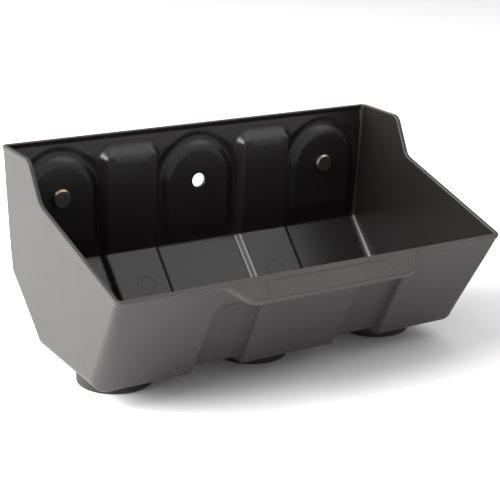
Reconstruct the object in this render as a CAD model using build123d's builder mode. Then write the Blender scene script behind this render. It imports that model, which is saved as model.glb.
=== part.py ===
"""Open-topped magnetic storage bin.

One thin-walled moulding with a low front, a stepped side wall and a pull tab, held by
five round magnet pots in rubber boots: three under the base and two behind the back wall.
Sizes are in millimetres. X runs across the bin, +Y points to the back, +Z is up.
The origin is on the surface that the bin stands on, at the middle of the whole object.
"""

from build123d import *
import os
from math import cos, radians, tan

os.makedirs("parts", exist_ok=True)

# ---------------------------------------------------------------- driving dimensions
# Bin, outer faces
overall_width = 305.0        # across the rim bead at the top of the back wall
overall_height = 150.0       # from the standing surface to the top of the rim
wall = 2.8
side_draft = 2.4             # degrees, each side wall leaning out
base_depth = 91.0            # flat base, front to back
bin_depth = 133.0            # bottom front edge to back wall
front_height = 76.0          # base to the top of the front rim
front_lean = 28.0            # degrees, front wall leaning forward
bend_height = 43.0           # base to the bend where the rear slope meets the back wall
corner_radius = 6.0          # upright corners, outside
base_radius = 4.5            # edges round the base, outside

# Rim
top_run = 46.0               # level stretch of the side rim, from the back wall
step_run = 15.8              # steep step in the side rim
step_drop = 27.3
rim_round = 9.0              # rounding where the side rim turns
bead_height = 3.0
bead_overhang = 0.4

# Pull tab on the front rim
tab_reach = 17.5
tab_front_width = 128.0      # before its corners are rounded
tab_root_width = 146.0
tab_thickness = 4.4
tab_corner = 8.0
tab_root = 9.0               # hollow rounding where it leaves the rim
panel_width = 98.0
panel_depth = 12.4
panel_setback = 2.2          # rim face to the panel
panel_recess = 0.4

# Two channels pressed into the moulding, running down the back, under and up the front
channel_spacing = 113.0      # centre to centre
channel_back_width = 44.0
channel_front_width = 37.0
channel_sink = 4.8
channel_back_top = 127.0     # above the base
channel_front_top = 60.0     # above the base
channel_ramp = 12.0          # height over which each end runs out

# Arched seats in the back wall, each pressed in as a shallow pad
seat_height = 92.5           # centre, above the base
seat_spacing = 111.0
seat_sink = 3.0
seat_clearance = 0.7         # radial, boot to seat
hanging_hole_radius = 5.2

# Magnet pots
foot_spacing = 108.5
foot_setback = 48.2          # bottom front edge to the centre of the base magnets
base_pot_height = 15.0
back_pot_height = 9.5
base_boot_roof = 3.4
back_boot_roof = 1.6
boot_radius = 26.3
boot_wall = 2.6
boot_fit = 0.05              # radial, boot to cup
boot_lip_width = 2.4
boot_lip_thickness = 1.0
boot_round = 1.2
cup_sheet = 1.6
cup_round = 1.4
magnet_gap = 0.6             # radial, ring magnet to cup
magnet_inset = 0.4           # magnet face behind the cup rim
magnet_bore_radius = 7.0
rivet_head_radius = 7.3
rivet_head_height = 3.2
rivet_head_bevel = 1.2
rivet_dimple_radius = 1.6
rivet_dimple_depth = 0.2
rivet_radius = 3.2
rivet_tail_radius = 5.2
rivet_tail_height = 1.8
rivet_clearance = 0.1        # radial, in every hole it passes

# ---------------------------------------------------------------- derived places
base_z = base_pot_height
front_slope = tan(radians(front_lean))
front_run = (front_height - bead_height) * front_slope
tab_run = tab_reach * cos(radians(front_lean))
back_reach = bin_depth + back_pot_height - seat_sink
front_reach = front_run + bead_height * front_slope + tab_run
base_front = (front_reach - back_reach) / 2
back_y = base_front + bin_depth
seat_y = back_y - seat_sink
bend_z = base_z + bend_height
front_rim_z = base_z + front_height
front_rim_y = base_front - front_height * front_slope
seat_z = base_z + seat_height
half_top_width = overall_width / 2 - bead_overhang
seat_radius = boot_radius + seat_clearance
cup_radius = boot_radius - boot_wall
rivet_hole_radius = rivet_radius + rivet_clearance
seat_spots = [(x, seat_z) for x in (-seat_spacing, 0, seat_spacing)]
foot_spots = [(x, base_front + foot_setback) for x in (-foot_spacing, 0, foot_spacing)]
reach = overall_width
tall_z = overall_height + 40

# The side rim at the top of the bead, from the back to the front
shoulder = (back_y - top_run, overall_height)
step_foot = (back_y - top_run - step_run, overall_height - step_drop)
front_lip = (front_rim_y, front_rim_z)

# Pose of the pull tab: lying square to the front wall, at the top of the front rim
tab_plane = Plane(
    origin=(0, front_rim_y, front_rim_z),
    x_dir=(1, 0, 0),
    z_dir=Vector(0, 0, 1).rotate(Axis.X, front_lean),
)


def side_half_width(z, inset):
    """Half the width between the side walls at height z, drawn in by inset."""
    outer = half_top_width - (overall_height - z) * tan(radians(side_draft))
    return outer - inset / cos(radians(side_draft))


def profile_face(inset):
    """Side view of the bin's form as a sketch, left tall above the rim."""
    with BuildSketch(Plane.YZ) as profile:
        with BuildLine():
            Polyline(
                (base_front, base_z),
                (base_front + base_depth, base_z),
                (back_y, bend_z),
                (back_y, tall_z),
                (base_front - (tall_z - base_z) * front_slope, tall_z),
                close=True,
            )
        make_face()
        if inset:
            offset(amount=-inset, kind=Kind.INTERSECTION)
    return profile.sketch_local


def bin_form(inset):
    """Solid form of the bin, drawn in by inset all round and left tall above the rim."""
    with BuildPart() as form:
        with BuildSketch(Plane.YZ):
            add(profile_face(inset))
        extrude(amount=reach, both=True)
        with BuildSketch(Plane.XZ):
            with BuildLine():
                low = side_half_width(0, inset)
                high = side_half_width(tall_z, inset)
                Polyline((-low, 0), (low, 0), (high, tall_z), (-high, tall_z), close=True)
            make_face()
        extrude(amount=reach, both=True, mode=Mode.INTERSECT)
        side_faces = form.faces().sort_by(Axis.X)
        long_edges = side_faces[0].edges() + side_faces[-1].edges()
        top_edges = form.faces().sort_by(Axis.Z)[-1].edges()
        top_keys = [edge.center() for edge in top_edges]
        corners = [e for e in long_edges if all((e.center() - k).length > 1 for k in top_keys)]
        fillet(corners, radius=corner_radius - inset)
        across = form.edges().filter_by(Axis.X).sort_by(Axis.Z)[:-2]
        fillet(across, radius=base_radius - inset)
    return form.part


def under_rim(drop):
    """Everything below the rim line, lowered by drop."""
    with BuildPart() as block:
        with BuildSketch(Plane.YZ):
            with BuildLine():
                lip_end = (
                    front_lip[0] - reach * cos(radians(front_lean)),
                    front_lip[1] - reach * cos(radians(front_lean)) * front_slope,
                )
                Polyline(
                    (back_y + reach, overall_height),
                    shoulder,
                    step_foot,
                    front_lip,
                    lip_end,
                    (lip_end[0], -reach),
                    (back_y + reach, -reach),
                    close=True,
                )
            make_face()
            if drop:
                offset(amount=-drop, kind=Kind.INTERSECTION)
            turns = vertices().sort_by(Axis.X)[3:5]
            fillet(turns, radius=rim_round)
        extrude(amount=reach, both=True)
    return block.part


def channel_slabs(margin):
    """Two upright slabs over the channels, wider than them by margin on each side."""
    with BuildPart() as slabs:
        with BuildSketch(Plane.XY.offset(-reach)):
            for side in (-1, 1):
                middle = side * channel_spacing / 2
                back_half = channel_back_width / 2 + margin
                front_half = channel_front_width / 2 + margin
                with BuildLine():
                    Polyline(
                        (middle - front_half, base_front - front_run),
                        (middle + front_half, base_front - front_run),
                        (middle + back_half, back_y),
                        (middle + back_half, back_y + reach),
                        (middle - back_half, back_y + reach),
                        (middle - back_half, back_y),
                        close=True,
                    )
                make_face()
        extrude(amount=3 * reach)
    return slabs.part


def channel_floor(inset):
    """Everything inside the channel floors and the ramps at their ends, drawn in by inset."""
    back_top = base_z + channel_back_top
    front_top = base_z + channel_front_top
    sink_y = channel_sink / cos(radians(front_lean))
    front_top_y = base_front - channel_front_top * front_slope
    ramp_foot_y = front_top_y + channel_ramp * front_slope + sink_y
    with BuildPart() as core:
        with BuildSketch(Plane.YZ):
            add(profile_face(channel_sink))
            with BuildLine():
                Polyline(
                    (back_y, back_top),
                    (back_y - channel_sink, back_top - channel_ramp),
                    (back_y - 3 * channel_sink, back_top - channel_ramp),
                    (back_y - 3 * channel_sink, tall_z),
                    (back_y, tall_z),
                    close=True,
                )
            make_face()
            with BuildLine():
                Polyline(
                    (front_top_y, front_top),
                    (ramp_foot_y, front_top - channel_ramp),
                    (ramp_foot_y + 3 * channel_sink, front_top - channel_ramp),
                    (base_front - (tall_z - base_z) * front_slope + 3 * channel_sink, tall_z),
                    (base_front - (tall_z - base_z) * front_slope, tall_z),
                    close=True,
                )
            make_face()
            if inset:
                offset(amount=-inset, kind=Kind.INTERSECTION)
        extrude(amount=reach, both=True)
    return core.part


def channel_relief(margin, inset):
    """The space between the channel floors and the bin's outer faces, in two pieces."""
    with BuildPart() as relief:
        add(channel_slabs(margin))
        add(channel_floor(inset), mode=Mode.SUBTRACT)
    return relief.part


def seat_pads(radius, inner_y):
    """Three arched pads, run down into the rear slope, from inner_y out through the back."""
    with BuildPart() as pads:
        with BuildSketch(Plane.XZ.offset(-inner_y)):
            with Locations(*seat_spots):
                Circle(radius)
                Rectangle(2 * radius, seat_height, align=(Align.CENTER, Align.MAX))
        extrude(amount=-reach)
    return pads.part


# ---------------------------------------------------------------- the moulding
with BuildPart() as rim_bead:
    add(bin_form(-bead_overhang))
    add(under_rim(0), mode=Mode.INTERSECT)
    add(under_rim(bead_height), mode=Mode.SUBTRACT)

with BuildPart() as pull_tab:
    with BuildSketch(tab_plane):
        with BuildLine():
            Polyline(
                (-tab_root_width, 2 * wall),
                (-tab_root_width, -bead_overhang),
                (-tab_root_width / 2, -bead_overhang),
                (-tab_front_width / 2, -tab_reach),
                (tab_front_width / 2, -tab_reach),
                (tab_root_width / 2, -bead_overhang),
                (tab_root_width, -bead_overhang),
                (tab_root_width, 2 * wall),
                close=True,
            )
        make_face()
        outline = vertices().group_by(Axis.Y)
        fillet(outline[0], radius=tab_corner)
        roots = vertices().filter_by(lambda v: abs(abs(v.X) - tab_root_width / 2) < 0.01)
        fillet(roots, radius=tab_root)
    extrude(amount=-tab_thickness)
    with BuildSketch(tab_plane):
        with Locations((0, -panel_setback)):
            Rectangle(panel_width, panel_depth, align=(Align.CENTER, Align.MAX))
    extrude(amount=-panel_recess, mode=Mode.SUBTRACT)

with BuildPart() as hollow:
    add(bin_form(wall))
    add(seat_pads(seat_radius + wall, seat_y - wall), mode=Mode.SUBTRACT)
    add(channel_relief(wall, wall), mode=Mode.SUBTRACT)

with BuildPart() as bin_shell:
    add(bin_form(0))
    add(under_rim(0), mode=Mode.INTERSECT)
    add(rim_bead.part)
    add(pull_tab.part)
    add(seat_pads(seat_radius, seat_y), mode=Mode.SUBTRACT)
    add(channel_relief(0, 0), mode=Mode.SUBTRACT)
    add(hollow.part, mode=Mode.SUBTRACT)
    # Hanging hole and the rivet holes
    with BuildSketch(Plane.XZ.offset(-seat_y)):
        with Locations((0, seat_z)):
            Circle(hanging_hole_radius)
        with Locations(seat_spots[0], seat_spots[2]):
            Circle(rivet_hole_radius)
    extrude(amount=2 * wall, mode=Mode.SUBTRACT)
    with BuildSketch(Plane.XY.offset(base_z)):
        with Locations(*foot_spots):
            Circle(rivet_hole_radius)
    extrude(amount=2 * wall, mode=Mode.SUBTRACT)

bin_shell.part.label = "bin_shell"
export_step(bin_shell.part, "parts/bin_shell.step")


# ---------------------------------------------------------------- magnet pots
def rubber_boot(seat, height, roof):
    """Boot round a magnet cup: a roof against the bin and a lip over the cup's rim."""
    with BuildPart() as boot:
        with BuildSketch(seat):
            Circle(boot_radius)
        extrude(amount=height)
        fillet(boot.edges().filter_by(GeomType.CIRCLE), radius=boot_round)
        with BuildSketch(seat.offset(roof)):
            Circle(cup_radius + boot_fit)
        extrude(amount=height - roof - boot_lip_thickness, mode=Mode.SUBTRACT)
        with BuildSketch(seat.offset(height)):
            Circle(cup_radius - boot_lip_width)
        extrude(amount=-boot_lip_thickness, mode=Mode.SUBTRACT)
        with BuildSketch(seat):
            Circle(rivet_hole_radius)
        extrude(amount=roof, mode=Mode.SUBTRACT)
    return boot.part


def steel_cup(seat, height, roof):
    """Pressed cup, its floor against the boot's roof and its rim behind the boot's lip."""
    depth = height - roof - boot_lip_thickness
    with BuildPart() as cup:
        with BuildSketch(seat.offset(roof)):
            Circle(cup_radius)
        extrude(amount=depth)
        floor_edge = cup.edges().filter_by(GeomType.CIRCLE).sort_by(seat_axis(seat))[0]
        fillet(floor_edge, radius=cup_round)
        with BuildSketch(seat.offset(roof + cup_sheet)):
            Circle(cup_radius - cup_sheet)
        extrude(amount=depth - cup_sheet, mode=Mode.SUBTRACT)
        with BuildSketch(seat.offset(roof)):
            Circle(rivet_hole_radius)
        extrude(amount=cup_sheet, mode=Mode.SUBTRACT)
    return cup.part


def ring_magnet(seat, height, roof):
    """Flat ring of sintered ferrite on the cup's floor, just behind the cup's rim."""
    floor = roof + cup_sheet
    with BuildPart() as ring:
        with BuildSketch(seat.offset(floor)):
            Circle(cup_radius - cup_sheet - magnet_gap)
            Circle(magnet_bore_radius, mode=Mode.SUBTRACT)
        extrude(amount=height - floor - boot_lip_thickness - magnet_inset)
    return ring.part


def pot_rivet(seat, height, roof):
    """Flat-headed rivet from inside the bin, clinched on the cup's floor."""
    tail_start = roof + cup_sheet
    with BuildPart() as rivet:
        with BuildSketch(seat.offset(-wall)):
            Circle(rivet_head_radius)
        extrude(amount=-rivet_head_height)
        crown = rivet.edges().filter_by(GeomType.CIRCLE).sort_by(seat_axis(seat))[0]
        chamfer(crown, length=rivet_head_bevel)
        with BuildSketch(seat.offset(-wall - rivet_head_height)):
            Circle(rivet_dimple_radius)
        extrude(amount=rivet_dimple_depth, mode=Mode.SUBTRACT)
        with BuildSketch(seat.offset(-wall)):
            Circle(rivet_radius)
        extrude(amount=wall + tail_start)
        with BuildSketch(seat.offset(tail_start)):
            Circle(rivet_tail_radius)
        extrude(amount=rivet_tail_height)
    return rivet.part


def seat_axis(seat):
    """Line through a seat's middle, pointing away from the bin."""
    return Axis(seat.origin, seat.z_dir)


pot_pieces = {
    "boot": rubber_boot,
    "cup": steel_cup,
    "magnet": ring_magnet,
    "rivet": pot_rivet,
}

pots = {}
for side, (x, y) in zip(("left", "centre", "right"), foot_spots):
    seat = Plane(origin=(x, y, base_z), x_dir=(1, 0, 0), z_dir=(0, 0, -1))
    pots[f"base_{side}"] = (seat, base_pot_height, base_boot_roof)
for side, (x, z) in zip(("left", "right"), (seat_spots[0], seat_spots[2])):
    seat = Plane(origin=(x, seat_y, z), x_dir=(1, 0, 0), z_dir=(0, 1, 0))
    pots[f"back_{side}"] = (seat, back_pot_height, back_boot_roof)

for pot_name, measures in pots.items():
    for piece_name, make_piece in pot_pieces.items():
        piece = make_piece(*measures)
        piece.label = f"{pot_name}_{piece_name}"
        export_step(piece, f"parts/{piece.label}.step")
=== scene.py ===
"""Looks for an open-topped magnetic storage bin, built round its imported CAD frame.

Sizes in the settings are metres, as Blender shows them. The shell's own arithmetic is in
millimetres: X runs across the bin, +Y points to its back wall and +Z is up.
"""

from math import atan2, copysign, cos, hypot, pi, radians, sin, tan

import bmesh
import bpy
from mathutils import Matrix, Vector


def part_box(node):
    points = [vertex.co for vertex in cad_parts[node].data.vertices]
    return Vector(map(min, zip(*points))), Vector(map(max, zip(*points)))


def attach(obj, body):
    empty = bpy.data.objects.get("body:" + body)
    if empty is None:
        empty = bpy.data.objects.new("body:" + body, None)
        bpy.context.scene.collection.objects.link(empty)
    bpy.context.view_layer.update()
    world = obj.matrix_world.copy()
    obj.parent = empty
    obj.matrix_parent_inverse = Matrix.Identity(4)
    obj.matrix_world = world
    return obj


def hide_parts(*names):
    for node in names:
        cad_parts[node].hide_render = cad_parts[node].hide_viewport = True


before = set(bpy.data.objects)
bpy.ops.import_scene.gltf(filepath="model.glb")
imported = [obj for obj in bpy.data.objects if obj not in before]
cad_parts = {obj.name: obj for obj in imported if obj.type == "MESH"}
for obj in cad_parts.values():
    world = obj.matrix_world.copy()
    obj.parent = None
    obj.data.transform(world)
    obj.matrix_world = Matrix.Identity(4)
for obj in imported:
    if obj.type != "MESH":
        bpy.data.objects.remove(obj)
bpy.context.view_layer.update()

bl_info = {
    "name": "Magnetic Storage Bin",
    "version": (1, 0, 0),
    "blender": (4, 5, 0),
    "location": "3D View > Sidebar > Bin",
    "description": "Builds the moulding, the magnet pots and a plain studio round the CAD frame",
    "category": "Object",
}

MM = 0.001
SHELL_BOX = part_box("bin_shell")
BACK_BOOT_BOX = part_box("back_left_boot")
BODY = "root"
POTS = ("base_left", "base_centre", "base_right", "back_left", "back_right")

# Places that come from the frame, in millimetres
BASE_Z = SHELL_BOX[0].z / MM
TOP_Z = SHELL_BOX[1].z / MM
SEAT_SINK = 3.0  # the arched seats are pressed in this far
BACK_Y = BACK_BOOT_BOX[0].y / MM + SEAT_SINK
BEAD_OUT = 0.4  # the rim bead stands out from the walls by this
HALF_TOP = SHELL_BOX[1].x / MM - BEAD_OUT
SEAT_X = -(BACK_BOOT_BOX[0].x + BACK_BOOT_BOX[1].x) / 2 / MM
SEAT_Z = (BACK_BOOT_BOX[0].z + BACK_BOOT_BOX[1].z) / 2 / MM


# ---------------------------------------------------------------- settings
class BinShellSettings(bpy.types.PropertyGroup):
    """Sizes and colours of the moulding."""

    wall: bpy.props.FloatProperty(
        name="Wall", description="Thickness of the moulding", default=0.0028, unit="LENGTH"
    )
    corner_radius: bpy.props.FloatProperty(
        name="Rim corner radius",
        description="Rounding of the upright corners at the rim, outside",
        default=0.0045,
        unit="LENGTH",
    )
    foot_corner_radius: bpy.props.FloatProperty(
        name="Base corner radius",
        description="Rounding of the corners at the base, outside",
        default=0.0095,
        unit="LENGTH",
    )
    base_radius: bpy.props.FloatProperty(
        name="Base radius",
        description="Rounding of the edges across the base, outside",
        default=0.0045,
        unit="LENGTH",
    )
    channel_sink: bpy.props.FloatProperty(
        name="Channel sink",
        description="Depth of the two channels",
        default=0.0048,
        unit="LENGTH",
    )
    channel_flank: bpy.props.FloatProperty(
        name="Channel flank",
        description="Width over which each channel side falls",
        default=0.0034,
        unit="LENGTH",
    )
    bead_height: bpy.props.FloatProperty(
        name="Bead height", description="Height of the rim bead", default=0.003, unit="LENGTH"
    )
    tab_thickness: bpy.props.FloatProperty(
        name="Tab thickness",
        description="Thickness of the pull tab",
        default=0.0044,
        unit="LENGTH",
    )
    panel_recess: bpy.props.FloatProperty(
        name="Panel recess",
        description="Depth of the blank panel in the pull tab",
        default=0.0004,
        unit="LENGTH",
    )
    outside_colour: bpy.props.StringProperty(
        name="Outside colour", description="Colour of the textured outside, hex", default="#302d2d"
    )
    # Set darker than the outside colour: the same black plastic, darkened as painted shade inside
    # the bin
    inside_colour_with_painted_shade: bpy.props.StringProperty(
        name="Inside colour", description="Colour of the polished inside, hex", default="#151212"
    )


class PotSettings(bpy.types.PropertyGroup):
    """Colours of the magnet pots."""

    rubber_colour: bpy.props.StringProperty(
        name="Rubber colour", description="Colour of the boots, hex", default="#1d1c1c"
    )
    cup_colour: bpy.props.StringProperty(
        name="Cup colour", description="Colour of the zinc plating, hex", default="#c3c3bd"
    )
    ferrite_colour: bpy.props.StringProperty(
        name="Ferrite colour", description="Colour of the ring magnets, hex", default="#3a3836"
    )
    rivet_colour: bpy.props.StringProperty(
        name="Rivet colour", description="Colour of the nickel plating, hex", default="#8f8a84"
    )


class StageSettings(bpy.types.PropertyGroup):
    """Floor, light and camera."""

    floor_colour: bpy.props.StringProperty(
        name="Floor colour", description="Colour of floor and background, hex", default="#fafafa"
    )
    key_power: bpy.props.FloatProperty(
        name="Key power", description="Power of the large side light", default=79.0, unit="POWER"
    )
    fill_power: bpy.props.FloatProperty(
        name="Fill power", description="Power of the front light", default=1.0, unit="POWER"
    )
    top_power: bpy.props.FloatProperty(
        name="Top power", description="Power of the overhead light", default=6.0, unit="POWER"
    )
    over_power: bpy.props.FloatProperty(
        name="Over power",
        description="Power of the light over the left",
        default=5.0,
        unit="POWER",
    )
    room_strength: bpy.props.FloatProperty(
        name="Room light", description="Strength of the even room light", default=0.62, min=0.0
    )
    lens: bpy.props.FloatProperty(
        name="Lens", description="Focal length of the camera", default=100.57, unit="CAMERA"
    )


# ---------------------------------------------------------------- shared helpers
def linear(hex_colour):
    """Linear RGBA of an sRGB hex colour."""
    parts = [int(hex_colour[i : i + 2], 16) / 255 for i in (1, 3, 5)]
    curve = [c / 12.92 if c <= 0.04045 else ((c + 0.055) / 1.055) ** 2.4 for c in parts]
    return (*curve, 1.0)


def add_node(tree, kind, inputs=None, links=None, **settings):
    """Adds a node with its own settings, the values of its inputs and its incoming links."""
    node = tree.nodes.new(kind)
    for name, value in settings.items():
        setattr(node, name, value)
    for name, value in (inputs or {}).items():
        node.inputs[name].default_value = value
    for name, output in (links or {}).items():
        tree.links.new(output, node.inputs[name])
    return node


def new_material(name):
    """A new material and its node tree, emptied."""
    material = bpy.data.materials.new(name)
    material.use_nodes = True
    material.node_tree.nodes.clear()
    return material, material.node_tree


def smooth_step(value):
    """0 below 0, 1 above 1, and an even S between."""
    t = min(1.0, max(0.0, value))
    return t * t * (3 - 2 * t)


def lerp(a, b, t):
    """The point a share t of the way from a to b."""
    return tuple(p + (q - p) * t for p, q in zip(a, b))


def span(start, end, step):
    """Even stops from start to end, about one step apart, both ends included."""
    count = max(1, round(abs(end - start) / step))
    return [start + (end - start) * i / count for i in range(count + 1)]


def merged(*lists, least=0.05):
    """All stops in rising order, without any that nearly coincide."""
    made = []
    for stop in sorted(x for stops in lists for x in stops):
        if not made or stop - made[-1] > least:
            made.append(stop)
    return made


# ---------------------------------------------------------------- materials
def drifting_shade(tree, factor, hex_colour, spread):
    """A colour that drifts by a share either way as a pattern rises through its middle."""
    share = add_node(
        tree,
        "ShaderNodeMapRange",
        {"From Min": 0.3, "From Max": 0.7, "To Min": 1 - spread, "To Max": 1 + spread},
        {"Value": factor},
    )
    shade = add_node(
        tree,
        "ShaderNodeVectorMath",
        {"Vector": linear(hex_colour)[:3]},
        {"Scale": share.outputs["Result"]},
        operation="SCALE",
    )
    return shade.outputs["Vector"]


def moulded_plastic(name, hex_colour, roughness, grain_mm, grain_depth_mm):
    """Black polypropylene, injection moulded. A finer grain leaves a clearer gloss."""
    material, tree = new_material(name)
    place = add_node(tree, "ShaderNodeTexCoord").outputs["Object"]
    # Flow of the melt: a slow drift in shade, some 60 mm across
    drift = add_node(
        tree, "ShaderNodeTexNoise", {"Scale": 1 / (60 * MM), "Detail": 2.0}, {"Vector": place}
    )
    # The grain of the mould face
    grain = add_node(
        tree,
        "ShaderNodeTexNoise",
        {"Scale": 1 / (grain_mm * MM), "Detail": 3.0, "Roughness": 0.6},
        {"Vector": place},
    )
    bump = add_node(
        tree,
        "ShaderNodeBump",
        {"Strength": 0.6, "Distance": grain_depth_mm * MM},
        {"Height": grain.outputs["Fac"]},
    )
    shader = add_node(
        tree,
        "ShaderNodeBsdfPrincipled",
        {"IOR": 1.49, "Roughness": roughness},
        {
            "Base Color": drifting_shade(tree, drift.outputs["Fac"], hex_colour, 0.1),
            "Normal": bump.outputs["Normal"],
        },
    )
    add_node(tree, "ShaderNodeOutputMaterial", links={"Surface": shader.outputs["BSDF"]})
    return material


def boot_rubber(hex_colour):
    """Nitrile rubber, press moulded: deep black with a soft sheen and a fine matte skin."""
    material, tree = new_material("Nitrile rubber, press moulded")
    place = add_node(tree, "ShaderNodeTexCoord").outputs["Object"]
    # Skin of the press tool, about 0.4 mm
    skin = add_node(
        tree, "ShaderNodeTexNoise", {"Scale": 1 / (0.4 * MM), "Detail": 2.0}, {"Vector": place}
    )
    # Bloom of the rubber, in patches about 9 mm across
    bloom = add_node(
        tree, "ShaderNodeTexNoise", {"Scale": 1 / (9 * MM), "Detail": 3.0}, {"Vector": place}
    )
    bump = add_node(
        tree,
        "ShaderNodeBump",
        {"Strength": 0.5, "Distance": 0.06 * MM},
        {"Height": skin.outputs["Fac"]},
    )
    shader = add_node(
        tree,
        "ShaderNodeBsdfPrincipled",
        {"IOR": 1.52, "Roughness": 0.62},
        {
            "Base Color": drifting_shade(tree, bloom.outputs["Fac"], hex_colour, 0.2),
            "Normal": bump.outputs["Normal"],
        },
    )
    add_node(tree, "ShaderNodeOutputMaterial", links={"Surface": shader.outputs["BSDF"]})
    return material


def plated_metal(name, hex_colour, roughness, spread, scuff_mm):
    """Plated steel. Fine scuffs vary its gloss, so its reflections are a little uneven."""
    material, tree = new_material(name)
    place = add_node(tree, "ShaderNodeTexCoord").outputs["Object"]
    scuffs = add_node(
        tree,
        "ShaderNodeTexNoise",
        {"Scale": 1 / (scuff_mm * MM), "Detail": 4.0},
        {"Vector": place},
    )
    gloss = add_node(
        tree,
        "ShaderNodeMapRange",
        {"To Min": roughness - spread, "To Max": roughness + spread},
        {"Value": scuffs.outputs["Fac"]},
    )
    shader = add_node(
        tree,
        "ShaderNodeBsdfPrincipled",
        {"Metallic": 1.0},
        {
            "Base Color": drifting_shade(tree, scuffs.outputs["Fac"], hex_colour, 0.06),
            "Roughness": gloss.outputs["Result"],
        },
    )
    add_node(tree, "ShaderNodeOutputMaterial", links={"Surface": shader.outputs["BSDF"]})
    return material


def sintered_ferrite(hex_colour):
    """Strontium ferrite, sintered and ground: dull charcoal with a dusty, speckled face."""
    material, tree = new_material("Strontium ferrite, sintered")
    place = add_node(tree, "ShaderNodeTexCoord").outputs["Object"]
    # Grains and dust, about 0.7 mm
    speckle = add_node(
        tree, "ShaderNodeTexNoise", {"Scale": 1 / (0.7 * MM), "Detail": 4.0}, {"Vector": place}
    )
    shader = add_node(
        tree,
        "ShaderNodeBsdfPrincipled",
        {"IOR": 1.9, "Roughness": 0.55},
        {"Base Color": drifting_shade(tree, speckle.outputs["Fac"], hex_colour, 0.4)},
    )
    add_node(tree, "ShaderNodeOutputMaterial", links={"Surface": shader.outputs["BSDF"]})
    return material


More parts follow.
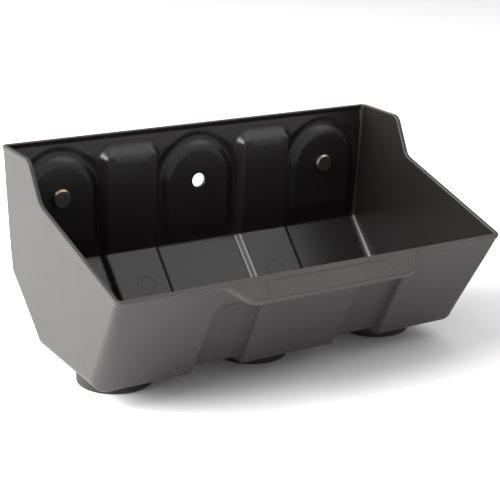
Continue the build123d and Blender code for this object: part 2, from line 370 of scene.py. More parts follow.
# ---------------------------------------------------------------- the moulding's form
class BinForm:
    """The moulding's sizes in millimetres, and where its surfaces lie."""

    base_depth = 91.0
    bend_z = 58.0
    front_lean = radians(28)
    side_draft = radians(2.4)
    front_rim_z = 91.0
    shoulder_run = 46.0  # level stretch of the side rim
    step_run = 15.8
    step_drop = 27.3
    rim_round = 9.0
    least_radius = 1.5
    even_margin = 12.0  # stretch at each end of a straight run that takes up the inset
    even_half = 118.0  # rows keep their X out to here, and stretch with the width beyond
    table_step = 0.1

    # Channels: half widths at the front rim, the base's front edge and the back wall
    channel_x = 56.6
    channel_halves = ((-83.7, 17.4), (-45.0, 20.4), (89.7, 22.0))
    channel_front_top = 75.0
    channel_back_top = 142.0
    channel_front_corner = 8.0
    channel_back_corner = 12.0
    front_ramp = 9.0
    back_ramp = 14.0

    # Seats: arched pads pressed in from outside, with a shallow groove over each inside
    groove = (37.5, 32.0)
    groove_depth = 0.9
    pad_inside = (30.5, 23.5)
    pad_outside = (27.6, 26.8)
    pad_taper = 18.0  # height above the bend over which the pads grow to their full depth
    back_sink = 2.2  # the channels are this much deeper up the back wall
    back_sink_rise = 25.0
    inner_flank = 5.4
    band = (134.0, 146.0)  # the back wall thins to its rim over these heights
    band_thin = 0.9

    def __init__(self, settings):
        self.wall = settings.wall / MM
        self.corner = settings.corner_radius / MM
        self.foot_corner = settings.foot_corner_radius / MM
        self.base_radius = settings.base_radius / MM
        self.sink = settings.channel_sink / MM
        self.flank = settings.channel_flank / MM
        self.front_slope = tan(self.front_lean)
        self.base_front = BACK_Y - 133.0
        self.lip_y = self.base_front - (self.front_rim_z - BASE_Z) * self.front_slope
        self.shoulder = (BACK_Y - self.shoulder_run, TOP_Z)
        self.step_foot = (self.shoulder[0] - self.step_run, TOP_Z - self.step_drop)
        self.rim_grade = (self.step_foot[1] - self.front_rim_z) / (self.step_foot[0] - self.lip_y)
        self.nominal = self.corner_line(0.0)

    def half_width(self, z):
        """Half the width between the side walls' outer faces at height z."""
        return HALF_TOP - (TOP_Z - z) * tan(self.side_draft)

    def corner_at(self, z):
        """Radius of the upright corners at height z, fuller towards the base."""
        fall = smooth_step((self.front_rim_z - z) / (self.front_rim_z - BASE_Z))
        return self.corner + (self.foot_corner - self.corner) * fall

    def trough_half(self, z):
        """Half the width of the part between the rounded corners."""
        return self.half_width(z) - self.corner_at(z)

    def row_x(self, x, z):
        """Where the row that stands at x on the back rim crosses height z."""
        reach = self.trough_half(TOP_Z)
        share = max(0.0, (abs(x) - self.even_half) / (reach - self.even_half))
        return copysign(abs(x) - share * (reach - self.trough_half(z)), x)

    def corner_line(self, inset):
        """The side view's sharp corners, drawn in by inset, from the front rim to the back."""
        run = self.base_front - (self.front_rim_z - BASE_Z) * self.front_slope
        slope_y = BACK_Y - self.base_front - self.base_depth
        slope_angle = atan2(self.bend_z - BASE_Z, slope_y)
        base_rear = self.base_front + self.base_depth
        half_front = (pi / 2 - self.front_lean) / 2
        half_rear = slope_angle / 2
        half_bend = (pi / 2 - slope_angle) / 2
        lip_shift = inset / cos(self.front_lean)
        lip_z = self.front_rim_z + self.rim_grade * lip_shift / (
            1 + self.rim_grade * self.front_slope
        )
        lip_y = run + lip_shift - (lip_z - self.front_rim_z) * self.front_slope
        return (
            (lip_y, lip_z),
            (self.base_front + inset * tan(half_front), BASE_Z + inset),
            (base_rear - inset * tan(half_rear), BASE_Z + inset),
            (BACK_Y - inset, self.bend_z + inset * tan(half_bend)),
            (BACK_Y - inset, TOP_Z),
        )

    def side_line(self, stops, inset):
        """The point of the side view for each stop, drawn in by inset.

        A stop is (run, way): an even run is a straight stretch, with way in millimetres from
        its start at inset 0, and an odd run is the rounding after it, with way from 0 to 1.
        """
        corners = self.corner_line(inset)
        radius = max(self.base_radius - 0.5 * inset, self.least_radius)
        plain = max(self.base_radius, self.least_radius)
        ends = []
        for line, r in ((corners, radius), (self.nominal, plain)):
            cuts = [(line[0],)]
            for before, at, after in zip(line, line[1:], line[2:]):
                back = Vector(before) - Vector(at)
                ahead = Vector(after) - Vector(at)
                turn = pi - back.angle(ahead)
                reach = r * tan(turn / 2)
                start = Vector(at) + back.normalized() * reach
                end = Vector(at) + ahead.normalized() * reach
                middle = Vector(at) + (back.normalized() + ahead.normalized()).normalized() * (
                    r / cos(turn / 2)
                )
                cuts[-1] = (*cuts[-1], start)
                cuts.append((end, middle, turn, start))
            cuts[-1] = (*cuts[-1], line[-1])
            ends.append(cuts)
        points = []
        for run, way in stops:
            if run % 2 == 0:
                here, plain_cut = ends[0][run // 2], ends[1][run // 2]
                start, end = Vector(here[0]), Vector(here[-1])
                plain_start, plain_end = Vector(plain_cut[0]), Vector(plain_cut[-1])
                length = (plain_end - plain_start).length
                along = (plain_end - plain_start) / length
                shift_start = (start - plain_start).dot(along)
                shift_end = (end - plain_end).dot(along)
                near = max(0.0, 1 - way / self.even_margin)
                far = max(0.0, 1 - (length - way) / self.even_margin)
                base = start + along * (way - shift_start)
                points.append(base + along * (shift_start * near + shift_end * far))
            else:
                end, middle, turn, start = ends[0][run // 2 + 1][:4]
                arm = start - middle
                points.append(middle + Matrix.Rotation(turn * way, 2) @ arm)
        return points

    def line_table(self, stops, deepest):
        """Side lines at even insets up to the deepest one, to read points between them."""
        lines = [self.side_line(stops, i * self.table_step) for i in range(deepest)]

        def point(inset, index):
            place = inset / self.table_step
            low = int(place)
            return lerp(lines[low][index], lines[low + 1][index], place - low)

        return point

    def run_lengths(self):
        """Lengths of the four straight runs at inset 0."""
        full = [(Vector(b) - Vector(a)).length for a, b in zip(self.nominal, self.nominal[1:])]
        cut = [0.0]
        for before, at, after in zip(self.nominal, self.nominal[1:], self.nominal[2:]):
            turn = pi - (Vector(before) - Vector(at)).angle(Vector(after) - Vector(at))
            cut.append(self.base_radius * tan(turn / 2))
        cut.append(0.0)
        return [length - cut[i] - cut[i + 1] for i, length in enumerate(full)]

    def channel_share(self, x, y, z, widen, flank):
        """How far the channels are pressed in at a point of the plain form, from 0 to 1."""
        stations = self.channel_halves
        if y <= stations[1][0]:
            low, high = stations[0], stations[1]
        else:
            low, high = stations[1], stations[2]
        t = min(1.0, max(0.0, (y - low[0]) / (high[0] - low[0])))
        half = low[1] + (high[1] - low[1]) * t + widen
        across = abs(abs(x) - self.channel_x) - half
        if y < self.base_front:
            past = (z - self.channel_front_top - widen) / cos(self.front_lean)
            corner, ramp = self.channel_front_corner, self.front_ramp
        elif z > self.bend_z:
            past = z - self.channel_back_top - widen / 2
            corner, ramp = self.channel_back_corner, self.back_ramp
        else:
            past, corner, ramp = -99.0, self.channel_front_corner, flank
        qx, qz = across + corner, past + corner
        if qx > 0 and qz > 0:
            away = hypot(qx, qz)
            distance = away - corner
            width = (flank * qx * qx + ramp * qz * qz) / (away * away)
        elif qx > qz:
            distance, width = across, flank
        else:
            distance, width = past, ramp
        return smooth_step(-distance / width)

    def seat_relief(self, x, z, inside):
        """How far a seat presses in at a point of the back wall."""
        middle = max(-SEAT_X, min(SEAT_X, SEAT_X * round(x / SEAT_X)))
        away = hypot(x - middle, max(0.0, z - SEAT_Z))
        fade = smooth_step((self.trough_half(z) - abs(x)) / 6)
        fade *= smooth_step((z - self.bend_z - 1) / self.pad_taper)
        foot, crown = self.pad_inside if inside else self.pad_outside
        depth = SEAT_SINK * smooth_step((foot - away) / (foot - crown))
        if inside:
            start, full = self.groove
            arch = smooth_step((z - SEAT_Z + 24) / 30)
            depth -= self.groove_depth * arch * (
                smooth_step((start - away) / (start - full)) - smooth_step((foot - away) / 3)
            )
        return depth * fade

    def relief(self, x, y, z, inside):
        """How far the surface lies in from the plain form's skin, at a point of the form."""
        widen = self.wall - 0.2 if inside else 0.0
        flank = self.inner_flank if inside else self.flank
        pressed = self.channel_share(x, y, z, widen, flank)
        depth = self.sink * pressed
        if y > BACK_Y - 0.01 and z > self.bend_z:
            rise = smooth_step((z - self.bend_z) / self.back_sink_rise)
            depth += self.back_sink * rise * pressed
            depth += self.seat_relief(x, z, inside) * (1 - pressed)
            if inside:
                low, high = self.band
                depth -= self.band_thin * smooth_step((z - low) / (high - low)) * (1 - pressed)
        return depth


# The blank panel in the tab's face, which widens a little towards the tab's edge
PANEL_ROWS = (48.7, 49.7)  # the rows either side of its ends
PANEL_HALVES = (47.0, 50.2)  # its half widths by the wall and by the tab's edge
PANEL_LINES = (14.35, 14.2, 2.2, 2.05)  # distances out from the front wall, rim then floor
PANEL_LEAST_REACH = 16.6  # it only crosses rows where the tab reaches this far


def trough_rows(form):
    """X of the rows that run down the front, under and up the back, between the corners."""
    half_top = form.trough_half(TOP_Z)
    edges = [form.channel_x - 22, form.channel_x - 17, form.channel_x + 17, form.channel_x + 22]
    right = merged(
        span(0, edges[0] - 4, 1.0),
        span(edges[0] - 4, edges[1] + 5, 0.55),
        span(edges[1] + 5, PANEL_ROWS[0], 4.0),
        span(PANEL_ROWS[1], edges[2] - 4.5, 4.0),
        span(edges[2] - 4.5, edges[3] + 5, 0.6),
        span(edges[3] + 5, half_top - 1.2, 1.1),
        [half_top],
        least=0.3,
    )
    return [-x for x in reversed(right[1:])] + right


def side_stops(form, inside):
    """Stops down the front, under and up the back, closest where the relief is."""
    front, base, rear, back = form.run_lengths()
    if inside:
        front_ways = span(4, front, 4.0)
        rear_ways = merged(span(0, rear, 4.0))
        back_ways = merged([0, 3], span(6, back - 2, 1.05), [back])
    else:
        front_ways = merged(span(7.5, 30, 1.25), span(30, front, 4.0))
        rear_ways = merged(span(0, rear, 6.0))
        back_ways = merged(span(0, 8, 4.0), span(8, back - 5, 1.3))
    base_ways = merged(span(0, base, 6.0))
    arcs = span(0, 1, 0.2)[1:-1]
    stops = [(0, way) for way in front_ways if way > 2]
    stops += [(1, t) for t in arcs]
    stops += [(2, way) for way in base_ways]
    stops += [(3, t) for t in arcs]
    stops += [(4, way) for way in rear_ways]
    stops += [(5, t) for t in arcs]
    stops += [(6, way) for way in back_ways if way < back - 2]
    return stops


CORNER_STEPS = 9
TABLE_LINES = 140  # insets in the table, past the deepest channel and corner


def corner_turns():
    """Angles round an upright corner, 0 at the trough and a quarter turn at the side wall."""
    return [pi / 2 * i / CORNER_STEPS for i in range(1, CORNER_STEPS + 1)]


def skin_points(form, rows, stops, inside):
    """Points of the inner or outer skin: a list for each row from left to right."""
    thick = form.wall if inside else 0.0
    plain = form.side_line(stops, 0.0)
    sunk_point = form.line_table(stops, TABLE_LINES)
    skin = []
    turns = corner_turns()
    for side, angles in ((-1, list(reversed(turns))), (1, turns)):
        strip = []
        for angle in angles:
            line = []
            for index, (_, z) in enumerate(plain):
                corner = form.corner_at(z)
                py, pz = sunk_point(corner - (corner - thick) * cos(angle), index)
                out = (corner - thick) * sin(angle) - corner
                line.append((side * (form.half_width(pz) + out), py, pz))
            strip.append(line)
        skin.append(strip)
    middle = []
    for x in rows:
        column = []
        for index, (y, z) in enumerate(plain):
            real_x = form.row_x(x, z)
            inset = thick + form.relief(real_x, y, z, inside)
            column.append((real_x, *sunk_point(inset, index)))
        middle.append(column)
    return skin[0] + middle + skin[1]


def rim_loop(form, rows):
    """Points and outward directions round the rim, on the outer face, from the front left."""
    lean = form.front_lean
    front_out = Vector((0, -cos(lean), -sin(lean)))
    back_out = Vector((0, 1, 0))
    side_out = Vector((cos(form.side_draft), 0, -sin(form.side_draft)))
    turns = corner_turns()
    loop = []

    def corner_points(angles, side, front):
        for angle in angles:
            inset = form.corner * (1 - cos(angle))
            line = form.corner_line(inset)
            y, z = line[0] if front else line[-1]
            x = side * (form.half_width(z) - form.corner * (1 - sin(angle)))
            wall_out = front_out if front else back_out
            across = Vector((side * side_out.x, 0, side_out.z))
            out = wall_out * cos(angle) + across * sin(angle)
            loop.append((Vector((x, y, z)), out.normalized()))

    corner_points(reversed(turns), -1, True)
    lip_y, lip_z = form.corner_line(0.0)[0]
    loop.extend((Vector((form.row_x(x, lip_z), lip_y, lip_z)), front_out) for x in rows)
    corner_points(turns, 1, True)
    side_rim = side_rim_line(form)
    for y, z in side_rim:
        loop.append((Vector((form.half_width(z), y, z)), side_out))
    corner_points(reversed(turns), 1, False)
    loop.extend((Vector((x, BACK_Y, TOP_Z)), back_out) for x in reversed(rows))
    corner_points(turns, -1, False)
    left_out = Vector((-side_out.x, 0, side_out.z))
    for y, z in reversed(side_rim):
        loop.append((Vector((-form.half_width(z), y, z)), left_out))
    return loop


def side_rim_line(form):
    """Side view of the rim between the upright corners, from the front to the back."""
    start = Vector(form.corner_line(form.corner)[0])
    end = Vector((BACK_Y - form.corner, TOP_Z))
    corners = [start, Vector(form.step_foot), Vector(form.shoulder), end]
    points = []
    previous = start
    for before, at, after in zip(corners, corners[1:], corners[2:]):
        back = (before - at).normalized()
        ahead = (after - at).normalized()
        turn = pi - back.angle(ahead)
        reach = form.rim_round * tan(turn / 2)
        arc_start, arc_end = at + back * reach, at + ahead * reach
        middle = at + (back + ahead).normalized() * (form.rim_round / cos(turn / 2))
        way = 1 if back.cross(ahead) < 0 else -1
        points += [lerp(previous, arc_start, t) for t in span(0, 1, 0.125)[1:]]
        arm = arc_start - middle
        points += [
            tuple(middle + Matrix.Rotation(way * turn * t, 2) @ arm) for t in span(0, 1, 0.1)[1:]
        ]
        previous = arc_end
    points += [lerp(previous, end, t) for t in span(0, 1, 0.125)[1:-1]]
    return points


# Pull tab outline in the plane of the rim: (X, distance out from the front wall)
TAB_ROOT_X = 80.0
TAB_OUTLINE = (
    (80.0, BEAD_OUT),
    (78.2, 0.9),
    (75.6, 2.2),
    (73.0, 4.2),
    (71.0, 6.6),
    (69.3, 9.2),
    (67.6, 11.9),
    (65.8, 14.2),
    (63.4, 16.2),
    (60.6, 17.2),
    (57.5, 17.5),
)


def tab_edge(x):
    """Outer edge of the rim at row X: (X, distance out, slant of the edge)."""
    side = 1 if x > 0 else -1
    inner, outer = TAB_OUTLINE[-1][0], TAB_ROOT_X
    if abs(x) >= outer:
        return x, BEAD_OUT, 0.0
    if abs(x) <= inner:
        return x, TAB_OUTLINE[-1][1], 0.0
    lengths = [0.0]
    for a, b in zip(TAB_OUTLINE, TAB_OUTLINE[1:]):
        lengths.append(lengths[-1] + hypot(b[0] - a[0], b[1] - a[1]))
    want = lengths[-1] * (outer - abs(x)) / (outer - inner)

    def at(length):
        length = min(lengths[-1], max(0.0, length))
        for i, (low, high) in enumerate(zip(lengths, lengths[1:])):
            if length <= high:
                return lerp(TAB_OUTLINE[i], TAB_OUTLINE[i + 1], (length - low) / (high - low))
        return TAB_OUTLINE[-1]

    blur = 1.6  # the outline's points are evened out over this length
    weights = (0.25, 0.5, 0.25)
    shares = [at(want + blur * k) for k in (-1, 0, 1)]
    px = sum(w * p[0] for w, p in zip(weights, shares))
    po = sum(w * p[1] for w, p in zip(weights, shares))
    before, after = at(want - blur / 2), at(want + blur / 2)
    slant = atan2(after[1] - before[1], before[0] - after[0])
    return side * px, po, side * slant


class ShellMesh:
    """Points and faces of the moulding as they are laid down."""

    def __init__(self):
        self.points = []
        self.faces = []
        self.finishes = []

    def add_points(self, points):
        start = len(self.points)
        self.points.extend(tuple(p) for p in points)
        return list(range(start, len(self.points)))

    def add_face(self, indices, finish):
        self.faces.append(indices)
        self.finishes.append(finish)

    def bridge(self, first, second, finish, closed=False):
        """Quads between two lines of points."""
        count = len(first)
        for i in range(count if closed else count - 1):
            j = (i + 1) % count
            self.add_face([first[i], first[j], second[j], second[i]], finish)


OUTSIDE, INSIDE = 0, 1


def rim_sections(form, settings, loop):
    """Cross-section of the rim at each point of the loop, from outside below to inside."""
    bead = settings.bead_height / MM
    thick = settings.tab_thickness / MM
    recess = settings.panel_recess / MM
    under_fillet, under_round, edge_round, inner_round = 0.5, 0.6, 0.9, 0.7
    count = len(loop)
    sections = []
    for i, (point, out) in enumerate(loop):
        along = (loop[(i + 1) % count][0] - loop[i - 1][0]).normalized()
        up = along.cross(out)
        up = -up if up.z < 0 else up
        up = (up - out * up.dot(out)).normalized()
        ahead = up.cross(out)
        on_front = abs(point.y - form.lip_y) < 0.01
        edge_x, reach, slant = (point.x, BEAD_OUT, 0.0)
        if on_front:
            edge_x, reach, slant = tab_edge(point.x)
        share = (reach - BEAD_OUT) / (TAB_OUTLINE[-1][1] - BEAD_OUT)
        depth = bead + (thick - bead) * smooth_step(share * 4)
        push = Vector((1, 0, 0)) * (edge_x - point.x) if on_front else Vector((0, 0, 0))
        edge = point + push + out * reach
        normal = out
        if slant:
            normal = out * cos(slant) + Vector((1, 0, 0)) * sin(slant)
        rows = [
            point - up * (depth + under_fillet),
            point - up * (depth + 0.15) + out * 0.15,
            point - up * depth + out * min(0.45, reach * 0.4),
            edge - up * depth - normal * min(under_round, reach * 0.5),
            edge - up * (depth - 0.18) - normal * 0.18,
            edge - up * (depth - under_round),
            edge - up * edge_round,
            edge - up * 0.26 - normal * 0.26,
            edge - normal * min(edge_round, reach * 0.8),
        ]
        # Blank panel, sunk into the tab's face
        top = edge - normal * min(edge_round, reach * 0.8)
        far = point - out * (form.wall - inner_round)
        on_panel = on_front and abs(point.x) < sum(PANEL_ROWS) / 2
        for k, o in enumerate(PANEL_LINES):
            if reach < PANEL_LEAST_REACH:
                rows.append(top + (far - top) * (k + 1) / 5)
                continue
            x = abs(point.x)
            grow = (o - PANEL_LINES[2]) / (PANEL_LINES[1] - PANEL_LINES[2])
            end_x = PANEL_HALVES[0] + (PANEL_HALVES[1] - PANEL_HALVES[0]) * grow
            for row_x, shift in zip(PANEL_ROWS, (0.0, 0.2)):
                if abs(x - row_x) < 0.01:
                    x = end_x + shift
            x = x if point.x > 0 else -x
            sunk = recess if on_panel and k in (1, 2) else 0.0
            rows.append(Vector((x, point.y, point.z)) + out * o - up * sunk)
        rows += [
            point - out * (form.wall - inner_round),
            point - out * (form.wall - 0.2) - up * 0.2,
            point - out * form.wall - up * inner_round,
        ]
        sections.append(rows)
    return sections


def lay_skin(mesh, form, rows, stops, front_edge, back_edge, inside):
    """Lays one skin between its two rim edges, and gives the grid of point numbers."""
    columns = skin_points(form, rows, stops, inside)
    return [
        [front_edge[i]] + mesh.add_points(column) + [back_edge[i]]
        for i, column in enumerate(columns)
    ]


def open_patch(mesh, grid, place, half):
    """The grid cells round a place, to be left open: their column and row limits."""
    xs = [mesh.points[column[len(column) // 2]][0] for column in grid]
    low = max(i for i, x in enumerate(xs) if x <= place[0] - half)
    high = min(i for i, x in enumerate(xs) if x >= place[0] + half)
    column = [mesh.points[i] for i in grid[(low + high) // 2]]
    away = [hypot(p[1] - place[1], p[2] - place[2]) for p in column]
    first = last = away.index(min(away))
    while away[first] < half:
        first -= 1
    while away[last] < half:
        last += 1
    return low, high, first, last


def patch_edge(grid, patch):
    """Point numbers round a patch, in order."""
    low, high, first, last = patch
    edge = [grid[c][first] for c in range(low, high)]
    edge += [grid[high][r] for r in range(first, last)]
    edge += [grid[c][last] for c in range(high, low, -1)]
    edge += [grid[low][r] for r in range(last, first, -1)]
    return edge


CIRCLE_STEPS = 48


def round_feature(mesh, edge, place, inward, rings, finish):
    """Fills inside an edge with circles round a place: rings are (radius, depth along inward)."""
    inward = Vector(inward).normalized()
    centre = Vector(place)
    centre += inward * (Vector(mesh.points[edge[0]]) - centre).dot(inward)
    across = Vector((1, 0, 0))
    along = inward.cross(across)

    def bearing(index):
        arm = Vector(mesh.points[index]) - centre
        return atan2(arm.dot(along), arm.dot(across)) % (2 * pi)

    turns = [2 * pi * i / CIRCLE_STEPS for i in range(CIRCLE_STEPS)]
    circles = [
        mesh.add_points(
            centre + (across * cos(t) + along * sin(t)) * radius + inward * depth for t in turns
        )
        for radius, depth in rings
    ]
    # Triangles between the edge and the first circle, taking whichever turns less
    outer = sorted(edge, key=bearing)
    bearings = [bearing(i) for i in outer] + [2 * pi + bearing(outer[0])]
    outer.append(outer[0])
    inner = circles[0] + circles[0][:1]
    turns.append(2 * pi)
    i = j = 0
    while i < len(outer) - 1 or j < CIRCLE_STEPS:
        if j == CIRCLE_STEPS or (i < len(outer) - 1 and bearings[i + 1] < turns[j + 1]):
            mesh.add_face([outer[i], outer[i + 1], inner[j]], finish)
            i += 1
        else:
            mesh.add_face([outer[i], inner[j + 1], inner[j]], finish)
            j += 1
    for first, second in zip(circles, circles[1:]):
        mesh.bridge(first, second, finish, closed=True)
    return circles[-1]


def grid_faces(mesh, grid, patches, finish):
    """Quads over a grid, leaving its patches open."""
    for c in range(len(grid) - 1):
        for r in range(len(grid[c]) - 1):
            if any(low <= c < high and a <= r < b for low, high, a, b in patches):
                continue
            mesh.add_face(
                [grid[c][r], grid[c + 1][r], grid[c + 1][r + 1], grid[c][r + 1]], finish
            )


# Rings round the hanging hole and round an ejector mark: (radius, depth from the surface)
HOLE_RINGS = ((6.3, 0.0), (5.6, 0.06), (5.28, 0.25), (5.2, 0.6))
HOLE_PATCH_HALF = 7.5
MARK_RINGS = ((7.3, 0.0), (7.1, 0.22), (6.7, 0.22), (6.5, 0.0))
MARK_PATCH_HALF = 8.2
EJECTOR_MARKS = ((-55, 62.7, 41), (55, 59.9, 38))  # in the rear slope


def build_shell(settings):
    """The whole moulding as one closed mesh."""
    form = BinForm(settings)
    mesh = ShellMesh()
    rows = trough_rows(form)
    loop = rim_loop(form, rows)
    sections = rim_sections(form, settings, loop)
    rings = [mesh.add_points(section[i] for section in sections) for i in range(len(sections[0]))]
    for i, (low, high) in enumerate(zip(rings, rings[1:])):
        mesh.bridge(low, high, OUTSIDE, closed=True)
    wide = len(rows) + 2 * CORNER_STEPS
    side = len(side_rim_line(form))
    front_part = slice(0, wide)
    right_part = slice(wide, wide + side)
    back_part = slice(wide + side, 2 * wide + side)
    left_part = slice(2 * wide + side, 2 * wide + 2 * side)
    rear_angle = atan2(form.bend_z - BASE_Z, BACK_Y - form.base_front - form.base_depth)
    lips = {}
    for inside, ring in ((False, rings[0]), (True, rings[-1])):
        stops = side_stops(form, inside)
        back_edge = list(reversed(ring[back_part]))
        grid = lay_skin(mesh, form, rows, stops, ring[front_part], back_edge, inside)
        finish = INSIDE if inside else OUTSIDE
        depth = SEAT_SINK + (form.wall if inside else 0.0)
        patches = []
        # Hanging hole, through the back wall
        place = (0, BACK_Y - depth, SEAT_Z)
        patch = open_patch(mesh, grid, place, HOLE_PATCH_HALF)
        patches.append(patch)
        toward = 1 if inside else -1
        edge = patch_edge(grid, patch)
        lips[inside] = round_feature(mesh, edge, place, (0, toward, 0), HOLE_RINGS, finish)
        if inside:
            for mark in EJECTOR_MARKS:
                normal = Vector((0, -sin(rear_angle), cos(rear_angle)))
                patch = open_patch(mesh, grid, mark, MARK_PATCH_HALF)
                patches.append(patch)
                edge = patch_edge(grid, patch)
                disc = round_feature(mesh, edge, mark, -normal, MARK_RINGS, finish)
                mesh.add_face(disc, finish)
        grid_faces(mesh, grid, patches, finish)
        right_edge = list(reversed(grid[-1])) + ring[right_part]
        left_edge = grid[0] + ring[left_part]
        mesh.add_face(right_edge, finish)
        mesh.add_face(left_edge, finish)
    # The two lips run opposite ways round the hole
    through = [lips[True][-i % CIRCLE_STEPS] for i in range(CIRCLE_STEPS)]
    mesh.bridge(lips[False], through, INSIDE, closed=True)
    return mesh


def shell_object(mesh, materials):
    """The moulding as an object, smooth shaded with its flats kept true."""
    data = bpy.data.meshes.new("moulded_bin")
    data.from_pydata([tuple(c * MM for c in p) for p in mesh.points], [], mesh.faces)
    for material in materials:
        data.materials.append(material)
    data.polygons.foreach_set("material_index", mesh.finishes)
    made = bmesh.new()
    made.from_mesh(data)
    bmesh.ops.remove_doubles(made, verts=made.verts, dist=0.000002)
    bmesh.ops.recalc_face_normals(made, faces=made.faces)
    open_edges = [e for e in made.edges if len(e.link_faces) != 2]
    if open_edges:
        first = open_edges[0].verts[0].co / MM
        raise RuntimeError(f"the moulding has {len(open_edges)} open edges, one at {first}")
    made.to_mesh(data)
    made.free()
    data.shade_smooth()
    shell = bpy.data.objects.new("moulded_bin", data)
    bpy.context.scene.collection.objects.link(shell)
    even = shell.modifiers.new("Even normals", "WEIGHTED_NORMAL")
    even.mode = "FACE_AREA"
    even.weight = 50
    return shell


# ---------------------------------------------------------------- operators
class BIN_OT_shell(bpy.types.Operator):
    """Builds the moulding with its rim, pull tab, channels and seats"""

    bl_idname = "bin.shell"
    bl_label = "Moulding"

    def execute(self, context):
        settings = context.scene.bin_shell
        # Spark-eroded mould faces give the outside a soft grey bloom under a side light. Such a
        # texture is usually a few tenths of a millimetre across. That is too fine to show where
        # the whole bin is in view, so it is drawn about three times as coarse
        outside = moulded_plastic(
            "Polypropylene, moulded on a spark texture",
            settings.outside_colour,
            roughness=0.5,
            grain_mm=0.9,
            grain_depth_mm=0.09,
        )
        # The core side of the mould is only draw-polished, so the inside is glossier; its colour
        # is the outside's black plastic set darker as painted shade inside the bin
        inside = moulded_plastic(
            "Polypropylene, moulded on a polished core",
            settings.inside_colour_with_painted_shade,
            roughness=0.33,
            grain_mm=1.2,
            grain_depth_mm=0.02,
        )
        shell = shell_object(build_shell(settings), [outside, inside])
        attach(shell, BODY)
        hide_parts("bin_shell")
        return {"FINISHED"}


class BIN_OT_pots(bpy.types.Operator):
    """Finishes the five magnet pots: boots, cups, ring magnets and rivets"""

    bl_idname = "bin.pots"
    bl_label = "Magnet pots"

    def execute(self, context):
        settings = context.scene.bin_pots
        finishes = {
            "boot": boot_rubber(settings.rubber_colour),
            # Zinc plate: pale, a little cloudy
            "cup": plated_metal(
                "Steel, pressed and zinc plated", settings.cup_colour, 0.34, 0.08, 3.0
            ),
            "magnet": sintered_ferrite(settings.ferrite_colour),
            # Bright nickel: mirrors the room with small scuffs
            "rivet": plated_metal(
                "Steel, headed and nickel plated", settings.rivet_colour, 0.24, 0.04, 1.5
            ),
        }
        for pot in POTS:
            for piece, material in finishes.items():
                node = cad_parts.get(f"{pot}_{piece}")
                if node is None:
                    raise RuntimeError(f"the frame has no {pot}_{piece}")
                for slot in node.material_slots:
                    slot.link = "OBJECT"
                    slot.material = material
        return {"FINISHED"}


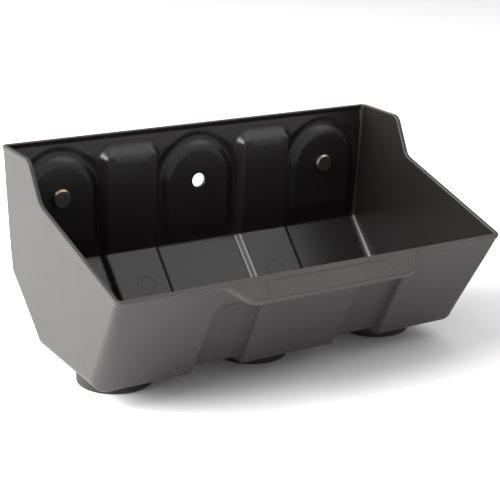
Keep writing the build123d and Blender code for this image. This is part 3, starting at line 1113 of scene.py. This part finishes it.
class BIN_OT_stage(bpy.types.Operator):
    """Lays the pale floor, hangs the soft lights and places the camera"""

    bl_idname = "bin.stage"
    bl_label = "Stage"

    def execute(self, context):
        settings = context.scene.bin_stage
        scene = context.scene
        floor_mesh = bpy.data.meshes.new("floor")
        reach = 6.0  # half the floor's width, far past every view
        corners = [(-reach, -reach, 0), (reach, -reach, 0), (reach, reach, 0), (-reach, reach, 0)]
        floor_mesh.from_pydata(corners, [], [(0, 1, 2, 3)])
        floor = bpy.data.objects.new("floor", floor_mesh)
        scene.collection.objects.link(floor)
        paper, tree = new_material("Background paper, matte")
        shader = add_node(
            tree,
            "ShaderNodeBsdfPrincipled",
            {"Base Color": linear(settings.floor_colour), "Roughness": 0.9},
        )
        add_node(tree, "ShaderNodeOutputMaterial", links={"Surface": shader.outputs["BSDF"]})
        floor_mesh.materials.append(paper)

        world = bpy.data.worlds.new("Room")
        world.use_nodes = True
        backdrop = world.node_tree.nodes["Background"]
        backdrop.inputs["Color"].default_value = linear("#ffffff")
        backdrop.inputs["Strength"].default_value = settings.room_strength
        scene.world = world

        lights = (
            ("key", settings.key_power, (-1.3, 0.3, 0.85), (1.6, 1.2)),
            ("fill", settings.fill_power, (0.5, -1.8, 0.9), (1.2, 1.2)),
            ("top", settings.top_power, (0.75, -0.35, 1.5), (1.2, 1.2)),
            ("over", settings.over_power, (-0.6, 0.0, 1.3), (0.9, 0.9)),
        )
        aim = Vector((0, 0, 0.07))
        for name, power, place, size in lights:
            lamp = bpy.data.lights.new(name, "AREA")
            lamp.shape = "RECTANGLE"
            lamp.size, lamp.size_y = size
            lamp.energy = power
            holder = bpy.data.objects.new(name, lamp)
            holder.location = place
            holder.rotation_euler = (aim - Vector(place)).to_track_quat("-Z", "Y").to_euler()
            scene.collection.objects.link(holder)

        # Camera: its own axes from heading, dip and roll
        lens = bpy.data.cameras.new("camera")
        lens.lens = settings.lens
        lens.sensor_width = 36.0
        heading, dip, roll = radians(31.832), radians(18.472), radians(1.536)
        ahead = Vector((sin(heading) * cos(dip), cos(heading) * cos(dip), -sin(dip)))
        level = Vector((cos(heading), -sin(heading), 0))
        upright = level.cross(ahead)
        image_right = level * cos(roll) + upright * sin(roll)
        image_up = upright * cos(roll) - level * sin(roll)
        camera = bpy.data.objects.new("camera", lens)
        camera.matrix_world = Matrix.Translation((-0.4942, -0.7853, 0.388)) @ Matrix(
            (image_right, image_up, -ahead)
        ).transposed().to_4x4()
        scene.collection.objects.link(camera)
        scene.camera = camera
        scene.view_settings.view_transform = "Standard"
        return {"FINISHED"}


class BIN_PT_panel(bpy.types.Panel):
    """Settings and build buttons of the storage bin"""

    bl_idname = "BIN_PT_panel"
    bl_label = "Magnetic storage bin"
    bl_space_type = "VIEW_3D"
    bl_region_type = "UI"
    bl_category = "Bin"

    def draw(self, context):
        for group, operator in (
            (context.scene.bin_shell, "bin.shell"),
            (context.scene.bin_pots, "bin.pots"),
            (context.scene.bin_stage, "bin.stage"),
        ):
            box = self.layout.box()
            for name in group.__annotations__:
                box.prop(group, name)
            box.operator(operator)


CLASSES = (
    BinShellSettings,
    PotSettings,
    StageSettings,
    BIN_OT_shell,
    BIN_OT_pots,
    BIN_OT_stage,
    BIN_PT_panel,
)


def register():
    for cls in CLASSES:
        bpy.utils.register_class(cls)
    bpy.types.Scene.bin_shell = bpy.props.PointerProperty(type=BinShellSettings)
    bpy.types.Scene.bin_pots = bpy.props.PointerProperty(type=PotSettings)
    bpy.types.Scene.bin_stage = bpy.props.PointerProperty(type=StageSettings)


def unregister():
    del bpy.types.Scene.bin_stage
    del bpy.types.Scene.bin_pots
    del bpy.types.Scene.bin_shell
    for cls in reversed(CLASSES):
        bpy.utils.unregister_class(cls)


def main():
    register()
    bpy.ops.bin.shell()
    bpy.ops.bin.pots()
    bpy.ops.bin.stage()


if __name__ == "__main__":
    main()
